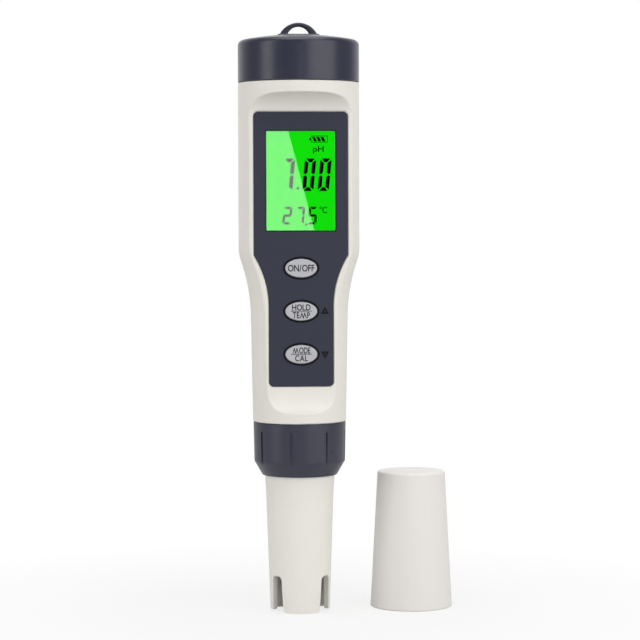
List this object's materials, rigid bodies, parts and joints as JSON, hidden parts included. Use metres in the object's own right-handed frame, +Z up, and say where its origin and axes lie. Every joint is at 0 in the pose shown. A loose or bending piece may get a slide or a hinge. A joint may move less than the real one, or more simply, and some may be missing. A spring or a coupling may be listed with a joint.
{
  "type": "ph meter",
  "caption": "Pocket pH meter with a lit display, keys, a screwed battery cap with a lanyard loop, a ring-nut electrode and a loose storage cap.",
  "frame": {"origin": "on the meter's long axis, at the foot of the electrode guard, where the meter stands", "axes": "+Z up the meter to the lanyard loop, -Y out of the display, +X to the display's right"},
  "size_m": [0.0683, 0.0383, 0.1863],
  "materials": {
    "cream_abs": "satin",
    "dark_abs": "satin",
    "panel_film": "satin print under film",
    "clear_lens": "polished",
    "seal_foam": "matt",
    "silicone": "matt",
    "key_silver": "silver paint",
    "switch_plastic": "moulded",
    "plunger_plastic": "moulded",
    "lcd_glass": "polished",
    "backlight_green": "diffusing",
    "led_package": "moulded",
    "zebra_rubber": "matt",
    "white_abs": "satin",
    "pcb_laminate": "solder resist",
    "chip_epoxy": "moulded",
    "crystal_can": "satin",
    "smd_ceramic": "fired",
    "steel_screw": "zinc plated",
    "carrier_abs": "moulded",
    "socket_nylon": "moulded",
    "gold_contact": "gold flash",
    "spring_steel": "nickel plated",
    "cell_can": "satin",
    "oring_rubber": "matt",
    "bulb_glass": "polished",
    "silver_wire": "chlorided",
    "frit_ceramic": "porous",
    "potting_epoxy": "cast",
    "graphite_pin": "ground",
    "stainless": "satin",
    "lead_pvc": "insulated",
    "storage_abs": "satin"
  },
  "bodies": {
    "meter": {"housing": "cream_abs", "front_panel": "panel_film", "display_window": "clear_lens", "window_seal": "seal_foam", "keypad_sheet": "silicone", "tact_switches": "switch_plastic", "lcd_front_glass": "lcd_glass", "lcd_rear_glass": "lcd_glass", "backlight_panel": "backlight_green", "backlight_leds": "led_package", "zebra_strip": "zebra_rubber", "lcd_frame": "white_abs", "main_pcb": "pcb_laminate", "microcontroller": "chip_epoxy", "amplifier_chips": "chip_epoxy", "crystal": "crystal_can", "smd_parts": "smd_ceramic", "pcb_screws": "steel_screw", "carrier": "carrier_abs", "sensor_socket": "socket_nylon", "socket_gasket": "silicone", "socket_board": "pcb_laminate", "socket_contacts": "gold_contact", "battery_holder": "carrier_abs", "contact_plates": "spring_steel", "cap_oring": "oring_rubber", "battery_cell_1": "cell_can", "battery_cell_2": "cell_can", "battery_cell_3": "cell_can", "battery_cell_4": "cell_can", "contact_spring_1": "spring_steel", "contact_spring_2": "spring_steel"},
    "cap_slide": {"contact_carrier": "carrier_abs", "bridge_contact": "spring_steel"},
    "cap": {"top_cap": "dark_abs", "swivel_screw": "steel_screw"},
    "electrode": {"probe_sleeve": "cream_abs", "probe_plug": "socket_nylon", "connector_pins": "gold_contact", "probe_oring": "oring_rubber", "ph_glass": "bulb_glass", "ph_wire": "silver_wire", "reference_tube": "white_abs", "reference_frit": "frit_ceramic", "probe_potting": "potting_epoxy", "ec_pins": "graphite_pin", "temperature_sensor": "stainless", "probe_leads": "lead_pvc"},
    "ring_nut": {"collar_nut": "dark_abs"},
    "storage_cap": {"storage_cap": "storage_abs"},
    "power_key": {"power_key": "key_silver", "power_key_foot": "silicone", "power_plunger": "plunger_plastic"},
    "hold_key": {"hold_key": "key_silver", "hold_key_foot": "silicone", "hold_plunger": "plunger_plastic"},
    "mode_key": {"mode_key": "key_silver", "mode_key_foot": "silicone", "mode_plunger": "plunger_plastic"}
  },
  "joints": [
    {"name": "cap_turn", "type": "hinge", "parent": "cap_slide", "child": "cap", "pos_m": [0, 0, 0.175], "axis": [0, 0, 1], "range_deg": [0, 900.5]},
    {"name": "cap_lift", "type": "slide", "parent": "meter", "child": "cap_slide", "axis": [0, 0, 1], "range_m": [0, 0.0125]},
    {"name": "ring_turn", "type": "hinge", "parent": "electrode", "child": "ring_nut", "pos_m": [0, 0, 0.052], "axis": [0, 0, -1], "range_deg": [0, 900.5]},
    {"name": "electrode_pull", "type": "slide", "parent": "meter", "child": "electrode", "axis": [0, 0, -1], "range_m": [0, 0.0125]},
    {"name": "storage_cap_lift", "type": "slide", "parent": "meter", "child": "storage_cap", "axis": [0, 0, 1], "range_m": [0, 0.06]},
    {"name": "power_press", "type": "slide", "parent": "meter", "child": "power_key", "axis": [0, 1, 0], "range_m": [0, 0.0005], "stiffness_N_per_m": 1500},
    {"name": "hold_press", "type": "slide", "parent": "meter", "child": "hold_key", "axis": [0, 1, 0], "range_m": [0, 0.0005], "stiffness_N_per_m": 1500},
    {"name": "mode_press", "type": "slide", "parent": "meter", "child": "mode_key", "axis": [0, 1, 0], "range_m": [0, 0.0005], "stiffness_N_per_m": 1500}
  ],
  "couplings": [
    {"joint": "cap_turn", "follows": "cap_lift", "rad_per_m": 1256.6},
    {"joint": "ring_turn", "follows": "electrode_pull", "rad_per_m": 1256.6}
  ]
}
